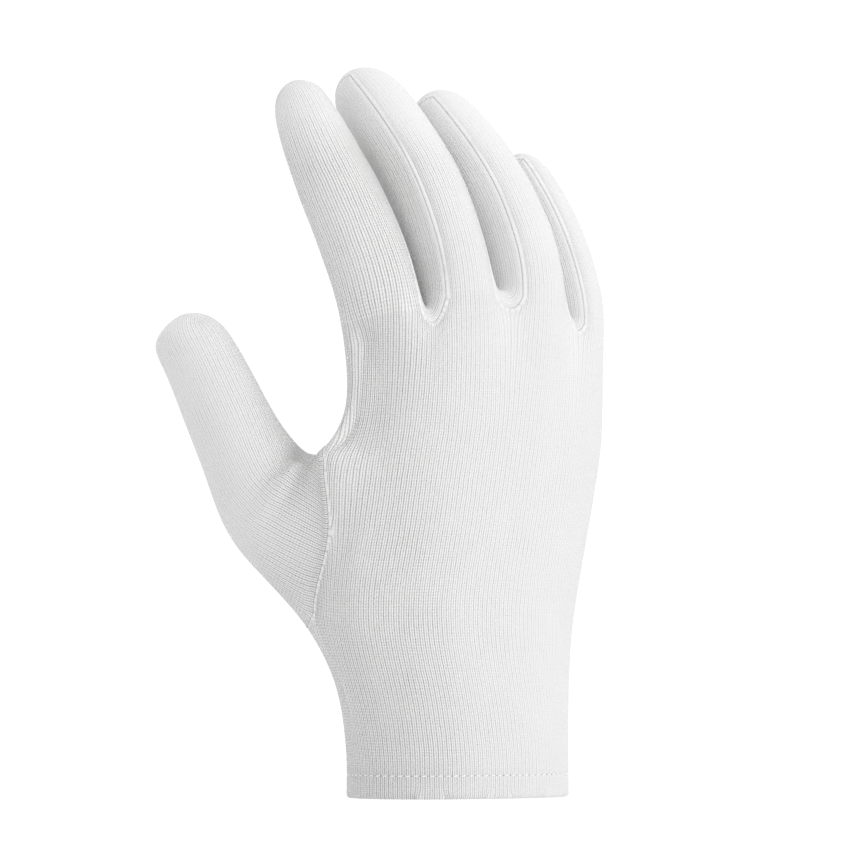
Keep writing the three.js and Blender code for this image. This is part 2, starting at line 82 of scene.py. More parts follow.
# %% Rings of the palm
PALM_RINGS = [
    dict(up=0.22, shift=-0.018, palm=0.1, breadth=1.035, back=0.95, front=0.95, cup=0, mouth=0),
    dict(up=0.375, shift=-0.058, palm=0.4, breadth=1.14, back=0.95, front=1.0, cup=0.02, mouth=1),
    dict(up=0.545, shift=0.018, palm=0.8, breadth=1.06, back=1.0, front=1.08, cup=0.08, mouth=1),
    dict(up=0.7, shift=0.062, palm=1, breadth=1.06, back=1.0, front=1.05, cup=0.15, mouth=1),
    dict(up=0.79, shift=0.095, palm=1, breadth=1.03, back=0.95, front=0.95, cup=0.18, mouth=0),
]
print(len(PALM_RINGS), "rings between hem and knuckles")

# %% [markdown]
# Each finger is a tube with its own base, lean, twist and three joint bends in degrees. The little finger
# is turned most, as it is on a relaxed hand. `root` is its breadth at the base, `blunt` that of its tip,
# `web` how deep the web beside it sinks, and `lap` how many degrees its far seam comes round to the back.
# The rings give breadth and depth along the finger, how square its sides are, how hard its neighbours
# press on them, and how far the finger's own root and lap (`base`) and bluntness (`tip`) count there.

# %% Fingers and their rings
FINGERS = [
    dict(name="index", length=INDEX_LENGTH, breadth=INDEX_BREADTH, depth=FINGER_DEPTH, across=-0.28,
         deep=0.03, up=1.0, spread=-6.7, turn=0, knuckle=24, middle=12, end=-8,
         root=1, blunt=0.88, web=0.9, lap=26),
    dict(name="middle", length=MIDDLE_LENGTH, breadth=FINGER_BREADTH, depth=FINGER_DEPTH, across=-0.015,
         deep=-0.035, up=1.05, spread=-4.8, turn=3, knuckle=17, middle=24, end=8,
         root=0.94, blunt=1.08, web=0.2, lap=0),
    dict(name="ring", length=RING_LENGTH, breadth=FINGER_BREADTH, depth=FINGER_DEPTH, across=0.27,
         deep=0.013, up=1.05, spread=-2.9, turn=18, knuckle=15, middle=22, end=6,
         root=1.03, blunt=1.0, web=1, lap=0),
    dict(name="little", length=LITTLE_LENGTH, breadth=LITTLE_BREADTH, depth=LITTLE_DEPTH, across=0.516,
         deep=0.25, up=0.985, spread=2.4, turn=40, knuckle=12, middle=13, end=5,
         root=1, blunt=1.0, web=0, lap=0),
]
FINGER_RINGS = [
    dict(along=0.0, breadth=1.0, depth=1.0, square=1.06, press=0.88, base=1, tip=0),
    dict(along=0.2, breadth=1.02, depth=1.0, square=1.0, press=0.9, base=0.45, tip=0),
    dict(along=0.42, breadth=0.98, depth=0.98, square=1, press=0.9, base=0, tip=0),
    dict(along=0.63, breadth=0.93, depth=0.93, square=1, press=0.9, base=0, tip=0.3),
    dict(along=0.83, breadth=0.86, depth=0.86, square=1, press=0.9, base=0, tip=1),
    dict(along=0.96, breadth=0.66, depth=0.64, square=1, press=0.95, base=0, tip=1),
]
TIP_REACH = 1.045
SEAM_ANGLE = 50
print("fingers:", ", ".join(f["name"] for f in FINGERS))

# %% [markdown]
# The thumb swings out of an oval mouth at the heel of the hand, in an upright plane of its own. Its two
# folds start at the web, where the cloth is pressed together, with a ridge of cloth between them, and
# fade out over the ball of the thumb. Between the index finger and the thumb the hand has a soft dent.
# A fold is drawn by three points: for the thumb outward and up from its root in shares of its length, for
# the dent across and up in shares of the palm's breadth and length. A ridge has a depth below zero.

# %% Thumb, its mouth and its folds
THUMB_MOUTH = [
    dict(out=-0.56, deep=0.22, up=0.37), dict(out=-0.472, deep=-0.06, up=0.54),
    dict(out=-0.575, deep=0.06, up=0.7), dict(out=-0.44, deep=0.34, up=0.73),
    dict(out=-0.3, deep=0.54, up=0.69), dict(out=-0.26, deep=0.66, up=0.545),
    dict(out=-0.33, deep=0.7, up=0.4), dict(out=-0.47, deep=0.56, up=0.345),
]
THUMB_ROOT = dict(out=0.4, deep=0.7, up=0.54)
THUMB_RINGS = [
    dict(out=0.284, up=0.185, breadth=1.44, depth=1.38, fan=47),
    dict(out=0.386, up=0.4, breadth=1.08, depth=1.1, fan=29),
    dict(out=0.492, up=0.61, breadth=1.02, depth=1.0, fan=26),
    dict(out=0.585, up=0.81, breadth=0.96, depth=0.94, fan=22),
    dict(out=0.662, up=0.925, breadth=0.92, depth=0.8, fan=20),
]
THUMB_TIP = dict(out=0.67, up=1.08)
THUMB_FOLDS = [
    dict(points=((0.093, 0.385), (0.196, 0.26), (0.312, 0.133)), depth=1.0),
    dict(points=((0.084, 0.33), (0.163, 0.197), (0.265, 0.093)), depth=-0.7),
    dict(points=((0.056, 0.354), (0.108, 0.183), (0.21, 0.062)), depth=0.9),
]
HAND_DENT = dict(points=((-0.38, 0.935), (-0.35, 0.83), (-0.425, 0.748)), depth=1.0)
print("thumb", THUMB_LENGTH, "mm long, swung out by", THUMB_SWING, "degrees")

# %% [markdown]
# ## A cage with the knit drawn on it
#
# The cage is a list of corners and four-sided faces. Every face also carries, for each corner, where it
# lies on the cloth: how many ribs across, and how many millimetres along. That is the map which later
# guides the rib lines, so they run up the hand and follow each finger as they do on the sewn glove.

# %% Corners and faces of the cage
corners = []
faces = []


def corner(point):
    corners.append(np.array(point, float))
    return len(corners) - 1


def face(piece, loop, cloth):
    faces.append((piece, loop, cloth))


def strip_between(number):
    return f"fourchette_{FINGERS[number]['name']}_{FINGERS[number + 1]['name']}"


def turned(degrees):
    return math.radians(degrees)


UP = np.array([0, 0, 1.0])
print("an empty cage to start with:", len(corners), "corners")

# %% [markdown]
# The palm has 32 columns: the radial side, three for each finger and one for each web, the little
# finger's side, and the same back on the palm. Ribs are counted along these columns.

# %% Columns and level rings
SIDE_STEP, WEB_STEP, SQUARENESS = 1, 0.5, 2.3
RIBS_ROUND = 137


def column_shares():
    steps = [SIDE_STEP]
    for number in range(len(FINGERS)):
        steps += [1, 1]
        if number < len(FINGERS) - 1:
            steps += [WEB_STEP, WEB_STEP]
    steps.append(SIDE_STEP)
    around = steps + steps[::-1]
    places = np.cumsum([0] + around)
    return places / places[-1]


def points_along(outline, shares):
    steps = np.linalg.norm(np.diff(outline, axis=0), axis=1)
    places = np.concatenate([[0], np.cumsum(steps)])
    places /= places[-1]
    return np.stack([np.interp(shares, places, outline[:, k]) for k in range(3)], axis=1)


def palm_ring(height, shift, breadth, back, front, cup, shares):
    angle = np.linspace(0, math.pi, 400)
    across = -np.sign(np.cos(angle)) * np.abs(np.cos(angle)) ** (2 / SQUARENESS)
    deep = np.clip(np.sin(angle), 0, 1) ** (2 / SQUARENESS)
    curl = cup * np.maximum(across, 0) ** 2

    def half(side, reach):
        return np.stack([shift + across * breadth / 2, side * deep * reach + curl,
                         np.full_like(angle, height)], axis=1)

    first = shares[shares <= 0.5]
    second = shares[(shares > 0.5) & (shares < 1)]
    ring = np.vstack([points_along(half(-1, back), first * 2),
                      points_along(half(1, front), 2 - second * 2)])
    return [corner(point) for point in ring]


shares = column_shares()
print(len(shares) - 1, "columns round the palm")

# %% [markdown]
# A finger is a tube of eight corners a ring, round a centre line that bends at its joints. The cage has
# to stand off the skin a little, because subdivision draws it inwards. `STRIP_STEP` is how many ribs lie
# between the seam of a side strip and the strip's middle.

# %% Finger tubes
BEND_STEPS = 24
STRIP_STEP = FINGER_DEPTH * turned(90 - SEAM_ANGLE) / 2 / RIB


def tube_ring(centre, across, out, breadth, depth, lap, stands):
    wide = breadth / 2 * 6 / (4 + 2 * math.sin(turned(SEAM_ANGLE)))
    deep = depth / 2 * 6 / (4 + 2 * math.cos(turned(SEAM_ANGLE)))
    ring = []
    for i, degrees in enumerate((-90, -SEAM_ANGLE, 0, SEAM_ANGLE - lap, 90, 180 - SEAM_ANGLE, 180,
                                 SEAM_ANGLE - 180)):
        angle = turned(degrees)
        ring.append(corner(centre + across * math.sin(angle) * wide * stands[i]
                           + out * math.cos(angle) * deep * stands[i]))
    return ring


def smoothstep(x, low, high):
    t = np.clip((x - low) / (high - low), 0, 1)
    return t * t * (3 - 2 * t)


def unit(vector):
    return vector / np.linalg.norm(vector)


def finger_place(finger, along):
    twist = turned(finger["turn"])
    back = np.array([math.sin(twist), -math.cos(twist), 0])
    side = np.array([math.cos(twist), math.sin(twist), 0])

    def bend(share):
        return turned(finger["knuckle"] * smoothstep(share, -0.15, 0.15)
                      + finger["middle"] * smoothstep(share, 0.15, 0.5)
                      + finger["end"] * smoothstep(share, 0.5, 0.8))

    def heading(share):
        return unit(UP * math.cos(bend(share)) - back * math.sin(bend(share))
                    + side * math.tan(turned(finger["spread"])))

    centre = np.array([finger["across"] * PALM_BREADTH, finger["deep"] * PALM_DEPTH,
                       finger["up"] * PALM_LENGTH])
    for i in range(BEND_STEPS):
        centre = centre + heading((i + 0.5) / BEND_STEPS * along) * finger["length"] * along / BEND_STEPS
    ahead = heading(along)
    out = UP * math.sin(bend(along)) + back * math.cos(bend(along))
    across = unit(np.cross(ahead, out))
    return centre, across, unit(np.cross(across, ahead))


def cloth_on_ring(number, breadth, lap):
    """Ribs at the eight corners of a finger's ring, on the back and on the palm side."""
    back, palm = RIBS_ROUND * shares[2 + 4 * number], RIBS_ROUND * shares[-3 - 4 * number]
    seam = breadth / 2 * turned(SEAM_ANGLE) / RIB
    side = seam * 90 / SEAM_ANGLE
    left, right = 0, RIBS_ROUND / 2
    lapped = seam * (1 - lap / SEAM_ANGLE)
    on_back = {0: back - side, 1: back - seam, 2: back, 3: back + lapped, 4: back + side}
    on_palm = {0: palm + side, 7: palm + seam, 6: palm, 5: palm - seam, 4: palm - side}
    if number == 0:
        on_back.update({0: left, 1: left + (back - left) * (1 - SEAM_ANGLE / 90)})
        on_palm.update({0: RIBS_ROUND, 7: RIBS_ROUND - (RIBS_ROUND - palm) * (1 - SEAM_ANGLE / 90)})
    if number == len(FINGERS) - 1:
        on_back.update({4: right, 3: right - (right - back) * (1 - SEAM_ANGLE / 90)})
        on_palm.update({4: right, 5: right + (palm - right) * (1 - SEAM_ANGLE / 90)})
    return on_back, on_palm


def build_fingers():
    bases = []
    for number, finger in enumerate(FINGERS):
        rings, ribs, heights = [], [], []
        for row in FINGER_RINGS:
            centre, across, out = finger_place(finger, row["along"])
            blunt = 1 + (finger["blunt"] - 1) * row["tip"]
            breadth = finger["breadth"] * row["breadth"] * (1 + (finger["root"] - 1) * row["base"]) * blunt
            depth = finger["depth"] * row["depth"] * blunt
            lap = finger["lap"] * row["base"]
            near = row["press"] if number > 0 else 1
            far = row["press"] if number < len(FINGERS) - 1 else 1
            stands = (near, row["square"], 1, row["square"], far, row["square"], 1, row["square"])
            rings.append(tube_ring(centre, across, out, breadth, depth, lap, stands))
            ribs.append(cloth_on_ring(number, breadth, lap))
            heights.append(finger["up"] * PALM_LENGTH + row["along"] * finger["length"])
        for i in range(len(rings) - 1):
            for a in range(8):
                b = (a + 1) % 8
                loop = [rings[i][a], rings[i][b], rings[i + 1][b], rings[i + 1][a]]
                strip = number - 1 if a in (7, 0) else number if a in (3, 4) else None
                if strip is not None and 0 <= strip < len(FINGERS) - 1:
                    place = {1: 0, 3: 0, 0: STRIP_STEP, 4: STRIP_STEP, 7: 2 * STRIP_STEP, 5: 2 * STRIP_STEP}
                    sign = 1 if strip == number - 1 else -1
                    low = sign * (FINGER_RINGS[i]["along"] * finger["length"] + WEB_DROP)
                    high = sign * (FINGER_RINGS[i + 1]["along"] * finger["length"] + WEB_DROP)
                    cloth = [(place[a], low), (place[b], low), (place[b], high), (place[a], high)]
                    face(strip_between(strip), loop, cloth)
                    continue
                side = 0 if a < 4 else 1
                cloth = [(ribs[i][side][a], heights[i]), (ribs[i][side][b], heights[i]),
                         (ribs[i + 1][side][b], heights[i + 1]), (ribs[i + 1][side][a], heights[i + 1])]
                face("hand_panel", loop, cloth)
        tip = corner(finger_place(finger, TIP_REACH)[0])
        top = finger["up"] * PALM_LENGTH + TIP_REACH * finger["length"]
        for a in (0, 2, 4, 6):
            b, c = a + 1, (a + 2) % 8
            on = ribs[-1][0 if a < 4 else 1]
            middle = on[2] if a < 4 else on[6]
            cloth = [(on[a], heights[-1]), (on[b], heights[-1]), (on[c], heights[-1]), (middle, top)]
            face("hand_panel", [rings[-1][a], rings[-1][b], rings[-1][c], tip], cloth)
        bases.append((rings[0], ribs[0]))
    return bases


bases = build_fingers()
print("four fingers:", len(corners), "corners,", len(faces), "faces")

# %% [markdown]
# Between two fingers the side strip runs down one finger, over the web and up the next, so the web is
# four faces of the strip. The palm's top row then follows the fingers' base rings and the webs.

# %% Webs and palm
def build_web(number):
    near, far = bases[number][0], bases[number + 1][0]
    step, full = STRIP_STEP, 2 * STRIP_STEP

    def between(a, b):
        middle = (corners[a] + corners[b]) / 2
        middle[2] -= WEB_DROP * FINGERS[number]["web"]
        return corner(middle)

    back, middle, front = between(near[3], far[1]), between(near[4], far[0]), between(near[5], far[7])
    strip = strip_between(number)
    away = WEB_DROP
    face(strip, [near[4], near[3], back, middle], [(step, -away), (0, -away), (0, 0), (step, 0)])
    face(strip, [far[1], far[0], middle, back], [(0, away), (step, away), (step, 0), (0, 0)])
    face(strip, [near[5], near[4], middle, front], [(full, -away), (step, -away), (step, 0), (full, 0)])
    face(strip, [far[0], far[7], front, middle], [(step, away), (full, away), (full, 0), (step, 0)])
    return back, front


def knuckle_row(webs):
    row, ribs = [], []

    def add(number, ribs_there):
        row.append(number)
        ribs.append(ribs_there)

    add(bases[0][0][0], 0)
    for number, (ring, (on_back, _)) in enumerate(bases):
        for a in (1, 2, 3):
            add(ring[a], on_back[a])
        if number < len(webs):
            add(webs[number][0], (on_back[3] + bases[number + 1][1][0][1]) / 2)
    add(bases[-1][0][4], RIBS_ROUND / 2)
    for number in range(len(bases) - 1, -1, -1):
        ring, (_, on_palm) = bases[number]
        for a in (5, 6, 7):
            add(ring[a], on_palm[a])
        if number > 0:
            add(webs[number - 1][1], (on_palm[7] + bases[number - 1][1][1][5]) / 2)
    return row, ribs + [RIBS_ROUND]


def build_palm(top_row, top_ribs):
    rows = [palm_ring(height, 0, CUFF_BREADTH, CUFF_DEPTH / 2, CUFF_DEPTH / 2, 0, shares)
            for height in (0, HEM_HEIGHT, 2 * HEM_HEIGHT)]
    low, middle, high = [len(rows) + i for i, ring in enumerate(PALM_RINGS) if ring["mouth"]]
    for ring in PALM_RINGS:
        breadth = CUFF_BREADTH + (PALM_BREADTH - CUFF_BREADTH) * ring["palm"]
        depth = CUFF_DEPTH + (PALM_DEPTH - CUFF_DEPTH) * ring["palm"]
        breadth *= ring["breadth"]
        back, front = ring["back"] * depth / 2, ring["front"] * depth / 2
        rows.append(palm_ring(ring["up"] * PALM_LENGTH, ring["shift"] * breadth, breadth, back, front,
                              ring["cup"] * depth, shares))
    ribs = [list(RIBS_ROUND * shares) for _ in rows] + [top_ribs]
    rows.append(top_row)
    columns = len(shares) - 1
    last = columns - 1
    places = [(low, 0), (middle, 0), (high, 0), (high, last), (high, last - 1), (middle, last - 1),
              (low, last - 1), (low, last)]
    for (row, column), place in zip(places, THUMB_MOUTH):
        moved = np.array([place["out"] * PALM_BREADTH, place["deep"] * PALM_DEPTH,
                          place["up"] * PALM_LENGTH])
        here = corners[rows[row][column]]
        ahead = unit(corners[rows[row][(column + 1) % columns]] - corners[rows[row][column - 1]])
        shift = float((moved - here) @ ahead) / RIB
        ribs[row][column] += shift
        if column == 0:
            ribs[row][columns] += shift
        corners[rows[row][column]] = moved
    for i in range(len(rows) - 1):
        for column in range(columns):
            if low <= i < high and column >= last - 1:
                continue
            after = (column + 1) % columns
            loop = [rows[i][column], rows[i][after], rows[i + 1][after], rows[i + 1][column]]
            across = (ribs[i][column], ribs[i][column + 1], ribs[i + 1][column + 1], ribs[i + 1][column])
            cloth = [(rib, corners[c][2]) for rib, c in zip(across, loop)]
            face("cuff_hem" if i == 0 else "hand_panel", loop, cloth)
    return [rows[row][column] for row, column in places]


webs = [build_web(number) for number in range(len(bases) - 1)]
mouth = build_palm(*knuckle_row(webs))
print("with the palm:", len(corners), "corners,", len(faces), "faces")

# %% [markdown]
# The thumb grows out of the mouth ring by ring. Its ribs keep their spacing and run along it, so they
# meet the curved seam of the mouth almost at right angles, which makes that seam stand out on the glove.
# `CAP_LENGTH` is the length of cloth over its round tip.

# %% Thumb
CAP_LENGTH = 12
swing = turned(THUMB_SWING)
outward = np.array([-math.cos(swing), math.sin(swing), 0])
backward = np.array([-math.sin(swing), -math.cos(swing), 0])
thumb_root = outward * THUMB_ROOT["out"] * PALM_BREADTH + backward * THUMB_ROOT["deep"] * PALM_DEPTH
thumb_root[2] = THUMB_ROOT["up"] * PALM_LENGTH


def thumb_place(out, up):
    return thumb_root + outward * out * THUMB_LENGTH + np.array([0, 0, up * THUMB_LENGTH])


def thumb_ring(row):
    fan = turned(row["fan"])
    webward = -outward * math.cos(fan) + np.array([0, 0, math.sin(fan)])
    stand = 6 / (4 + 2 * math.cos(math.pi / 4))
    ring = []
    for degrees in (135, 90, 45, 0, -45, -90, -135, 180):
        angle = turned(degrees)
        ring.append(corner(thumb_place(row["out"], row["up"])
                           + webward * math.cos(angle) * THUMB_BREADTH * row["breadth"] / 2 * stand
                           + backward * math.sin(angle) * THUMB_DEPTH * row["depth"] / 2 * stand))
    return ring


def ribs_on_thumb(ring):
    """Ribs at both ends of each column, counted from the middle of the back and split on the palm side."""
    steps = [np.linalg.norm(corners[ring[a]] - corners[ring[(a + 1) % 8]]) / RIB for a in range(8)]
    ends = [None] * 8
    at = 0.0
    for a in (1, 2, 3, 4):
        ends[a] = (at, at + steps[a])
        at += steps[a]
    at = 0.0
    for a in (0, 7, 6, 5):
        ends[a] = (at - steps[a], at)
        at -= steps[a]
    return ends


def build_thumb():
    rings = [thumb_ring(row) for row in THUMB_RINGS]
    gusset = [corner((corners[a] + corners[b]) / 2) for a, b in zip(mouth, rings[0])]
    stack = [mouth, gusset] + rings
    ribs = [ribs_on_thumb(ring) for ring in stack]
    lengths = [0.0]
    for lower, upper in zip(stack, stack[1:]):
        steps = [np.linalg.norm(corners[a] - corners[b]) for a, b in zip(lower, upper)]
        lengths.append(lengths[-1] + float(np.mean(steps)))
    for i in range(len(stack) - 1):
        for a in range(8):
            b = (a + 1) % 8
            loop = [stack[i][a], stack[i][b], stack[i + 1][b], stack[i + 1][a]]
            face("thumb", loop, [(ribs[i][a][0], lengths[i]), (ribs[i][a][1], lengths[i]),
                                 (ribs[i + 1][a][1], lengths[i + 1]), (ribs[i + 1][a][0], lengths[i + 1])])
    tip = corner(thumb_place(THUMB_TIP["out"], THUMB_TIP["up"]))
    for a in (0, 2, 4, 6):
        b = a + 1
        loop = [rings[-1][a], rings[-1][b], rings[-1][(a + 2) % 8], tip]
        start, middle = ribs[-1][a]
        end = middle + ribs[-1][b][1] - ribs[-1][b][0]
        cloth = [(rib, lengths[-1]) for rib in (start, middle, end)]
        face("thumb", loop, cloth + [(middle, lengths[-1] + CAP_LENGTH)])


build_thumb()
print("the whole cage:", len(corners), "corners,", len(faces), "faces")

# %% [markdown]
# ## From the cage to a smooth skin
#
# Subdivision turns the cage into the smooth, taut surface of a filled glove. Blender's subdivision
# surface carries the cloth map along, so nothing has to be unwrapped by hand.

# %% Smooth the cage
PIECES = ["hand_panel", "thumb"] + [strip_between(n) for n in range(len(bases) - 1)] + ["cuff_hem"]
SMOOTHING = 3


def smooth_skin():
    mesh = bpy.data.meshes.new("skin_cage")
    mesh.from_pydata([tuple(p) for p in corners], [], [loop for _, loop, _ in faces])
    mark = mesh.attributes.new("piece", "INT", "FACE")
    mark.data.foreach_set("value", [PIECES.index(piece) for piece, _, _ in faces])
    cloth = mesh.uv_layers.new(name="cloth")
    cloth.data.foreach_set("uv", np.array([uv for _, _, spots in faces for uv in spots], float).ravel())
    cage = bpy.data.objects.new("skin_cage", mesh)
    bpy.context.scene.collection.objects.link(cage)
    step = cage.modifiers.new("smooth", "SUBSURF")
    step.levels = step.render_levels = SMOOTHING
    bpy.context.view_layer.update()
    fine = bpy.data.meshes.new_from_object(cage.evaluated_get(bpy.context.evaluated_depsgraph_get()))

    def read(items, name, each, kind=float):
        values = np.zeros(len(items) * each, kind)
        items.foreach_get(name, values)
        return values

    result = (read(fine.vertices, "co", 3).reshape(-1, 3),
              read(fine.vertex_normals, "vector", 3).reshape(-1, 3),
              read(fine.loops, "vertex_index", 1, int).reshape(-1, 4),
              read(fine.attributes["piece"].data, "value", 1, int),
              read(fine.uv_layers["cloth"].data, "uv", 2).reshape(-1, 4, 2))
    bpy.data.objects.remove(cage)
    bpy.data.meshes.remove(mesh)
    bpy.data.meshes.remove(fine)
    return result


skin, skin_normals, quads, marks, spots = smooth_skin()
print("smooth skin:", len(skin), "points,", len(quads), "faces, from z", skin[:, 2].min().round(1),
      "to", skin[:, 2].max().round(1), "mm")

# %% [markdown]
# ## Folds and slack
#
# The cloth isn't quite even: two folds run from the web of the thumb over its ball, the hand has its
# dent between index finger and thumb, and the knit has faint lengthwise slack. I press these in along the
# normal. Folds and dent fade beside the thumb's seam, which is a stiff line of the glove, and where the
# skin turns away from the back: `THUMB_FACING` and `DENT_FACING` say from where to where. The slack is a
# long wave and a broader ripple, with their sizes across and along the glove in millimetres.

# %% Press in folds and slack
FOLD_FADING = 0.8
THUMB_FACING, DENT_FACING = (-0.4, 0.2), (-0.1, 0.4)
SLACK, RIPPLE_SHARE = 0.22, 1.2
WAVE_ACROSS, WAVE_ALONG = 9, 55
RIPPLE_ACROSS, RIPPLE_ALONG, RIPPLE_SHIFT = 24, 30, 7


def fold_depth(flat, folds, width, fading):
    """How deep the folds lie at places given in the same flat millimetres as their courses."""
    total = np.zeros(len(flat))
    for (a, b, c), depth in folds:
        t = np.linspace(0, 1, 17)[:, None]
        course = a * (2 * t * t - 3 * t + 1) + b * (4 * t - 4 * t * t) + c * (2 * t * t - t)
        here = depth * (1 - fading * t[:, 0]) * np.exp(
            -(np.linalg.norm(flat[:, None] - course[None], axis=2) / width) ** 2)
        total += here[np.arange(len(flat)), np.abs(here).argmax(axis=1)]
    return total


def thumb_fold_depth(points):
    place = points - thumb_root
    flat = np.stack([place @ outward, place[:, 2]], axis=1)
    folds = [([np.array(p) * THUMB_LENGTH for p in fold["points"]], fold["depth"]) for fold in THUMB_FOLDS]
    return FOLD_DEPTH * fold_depth(flat, folds, FOLD_WIDTH, FOLD_FADING)


def hand_dent_depth(points):
    size = np.array([PALM_BREADTH, PALM_LENGTH])
    course = [np.array(p) * size for p in HAND_DENT["points"]]
    return DENT_DEPTH * fold_depth(points[:, [0, 2]], [(course, HAND_DENT["depth"])], DENT_WIDTH, 0)


def points_of(piece):
    return np.unique(quads[marks == PIECES.index(piece)])


def tree_of(points):
    tree = KDTree(len(points))
    for i, point in enumerate(points):
        tree.insert(point, i)
    tree.balance()
    return tree


def away_from(points, tree):
    return np.array([tree.find(point)[2] for point in points])


thumb_points = points_of("thumb")
others = np.unique(quads[marks != PIECES.index("thumb")])
mouth_seam = tree_of(skin[np.intersect1d(thumb_points, others)])
facing = smoothstep(skin_normals[thumb_points] @ backward, *THUMB_FACING)
seam_fade = smoothstep(away_from(skin[thumb_points], mouth_seam), 0, 1.2 * FOLD_WIDTH)
relief = np.zeros(len(skin))
relief[thumb_points] -= thumb_fold_depth(skin[thumb_points]) * facing * seam_fade
panel_points = points_of("hand_panel")
facing = smoothstep(-skin_normals[panel_points, 1], *DENT_FACING)
seam_fade = smoothstep(away_from(skin[panel_points], mouth_seam), 0, DENT_WIDTH)
relief[panel_points] -= hand_dent_depth(skin[panel_points]) * facing * seam_fade

for i, (x, y, z) in enumerate(skin):
    wave = noise.noise(Vector((x / WAVE_ACROSS, y / WAVE_ACROSS, z / WAVE_ALONG)))
    ripple = noise.noise(Vector((x / RIPPLE_ACROSS + RIPPLE_SHIFT, y / RIPPLE_ACROSS, z / RIPPLE_ALONG)))
    relief[i] += SLACK * wave + RIPPLE_SHARE * SLACK * ripple
skin = skin + skin_normals * relief[:, None]
print("deepest fold", round(float(-relief.min()), 2), "mm")

# %% [markdown]
# ## Cutting and sewing
#
# Each piece is the part of the skin between its seams. At a seam one edge is rolled over its seam
# allowance, so it stands up as a small soft ridge and then dives into the ditch of the seam, and the edge
# on the other side lies lower. The fingers' edges are rolled against the strips, and the thumb's edge
# against the hand. I draw the border of a piece back from the seam line and fill the space with that
# section, given as pairs of distance from the seam and height above the skin. `EASE` is how far from the
# seam a piece is still drawn back. Below `LEVEL_SHARE` of the hem's height the wall's thickness goes
# level inwards, so the glove ends flat.

# %% Sections of the sewn edges
ROLLED = [(1.2, 0), (0.85, 0.06), (0.55, 0.13), (0.3, 0.11), (0.1, 0), (0.03, -0.16), (0.03, -KNIT_WALL)]
LOWERED = [(1.0, 0), (0.6, -0.02), (0.3, -0.07), (0.12, -0.14), (0.03, -0.24), (0.03, -KNIT_WALL)]
HEM_LINE = [(1.2, 0), (0.7, -0.03), (0.3, -0.1), (0.06, -0.18), (0.03, -0.4), (0.03, -KNIT_WALL)]
TURNED = [(1.2, 0), (0.7, -0.08), (0.3, -0.32), (0.06, -0.75), (0, -1.1), (0.06, -1.45), (0.3, -1.88),
          (0.7, -2.12)]
EASE, LEVEL_SHARE = 5.0, 0.6


def section_for(piece, other):
    if other is None:
        return TURNED
    if "cuff_hem" in (piece, other):
        return HEM_LINE
    if piece == "thumb" or other != "thumb" and piece == "hand_panel":
        return ROLLED
    return LOWERED


def edge_table(own):
    table = {}
    for number in own:
        loop = quads[number]
        for k in range(4):
            a, b = int(loop[k]), int(loop[(k + 1) % 4])
            table.setdefault((min(a, b), max(a, b)), []).append((number, k, a, b))
    return table


print("rolled edge", len(ROLLED), "points, turned hem", len(TURNED), "points")

# %% [markdown]
# The function below cuts one piece: it finds its border, draws it back with ease over a few millimetres,
# adds the edge sections, and gives the cloth its thickness on the inside.

# %% Cut one piece from the skin
all_edges = edge_table(range(len(quads)))


def cut_piece(piece, wall):
    number = PIECES.index(piece)
    own = np.nonzero(marks == number)[0]
    rims, pulls, sections = [], {}, {}
    for key, uses in edge_table(own).items():
        if len(uses) > 1:
            continue
        quad, k, a, b = uses[0]
        across = [other for other, *_ in all_edges[key] if marks[other] != number]
        other = PIECES[marks[across[0]]] if across else None
        along = unit(skin[b] - skin[a])
        inward = unit(np.cross(unit(skin_normals[a] + skin_normals[b]), along))
        rims.append((quad, k, a, b))
        for c in (a, b):
            pulls.setdefault(c, []).append(inward)
            sections[c] = section_for(piece, other)
    rim = list(pulls)
    pull = {}
    for c, ways in pulls.items():
        total = sum(ways)
        pull[c] = total / (1 + float(ways[0] @ ways[-1])) if len(ways) > 1 else total
    tree = tree_of(skin[rim])
    used = np.unique(quads[own])
    place = {}
    outer = skin[used].copy()
    for i, c in enumerate(used):
        place[int(c)] = i
        spot, j, distance = tree.find(skin[c])
        if distance < EASE:
            back = sections[rim[j]][0][0]
            outer[i] += pull[rim[j]] * back * (1 - distance / EASE) ** 2
    normals = skin_normals[used].copy()
    level = skin[used][:, 2] < HEM_HEIGHT * LEVEL_SHARE
    normals[level, 2] = 0
    normals /= np.linalg.norm(normals, axis=1)[:, None]
    inner = outer - normals * wall
    points = [outer, inner]
    count = len(used)
    loops, cloth = [], []
    for q in own:
        loop = [place[int(c)] for c in quads[q]]
        loops.append(loop)
        cloth.append(spots[q])
        loops.append([c + count for c in loop[::-1]])
        cloth.append(spots[q][::-1])
    extra, ladders = [], {}
    for c in rim:
        i = place[c]
        ladder = [i]
        for reach, height in sections[c][1:]:
            extra.append(skin[c] + pull[c] * reach + normals[i] * height)
            ladder.append(2 * count + len(extra) - 1)
        ladders[c] = ladder + [i + count]
    points.append(np.array(extra))
    for quad, k, a, b in rims:
        start, end = spots[quad][k], spots[quad][(k + 1) % 4]
        left, right = ladders[a], ladders[b]
        steps = max(len(left), len(right)) - 1
        for s in range(steps):
            corners_here = [left[min(s, len(left) - 1)], left[min(s + 1, len(left) - 1)],
                            right[min(s + 1, len(right) - 1)], right[min(s, len(right) - 1)]]
            kept, kept_cloth = [], []
            for corner_here, uv in zip(corners_here, (start, start, end, end)):
                if corner_here not in kept:
                    kept.append(corner_here)
                    kept_cloth.append(uv)
            if len(kept) > 2:
                loops.append(kept)
                cloth.append(kept_cloth)
    return np.vstack(points), loops, cloth


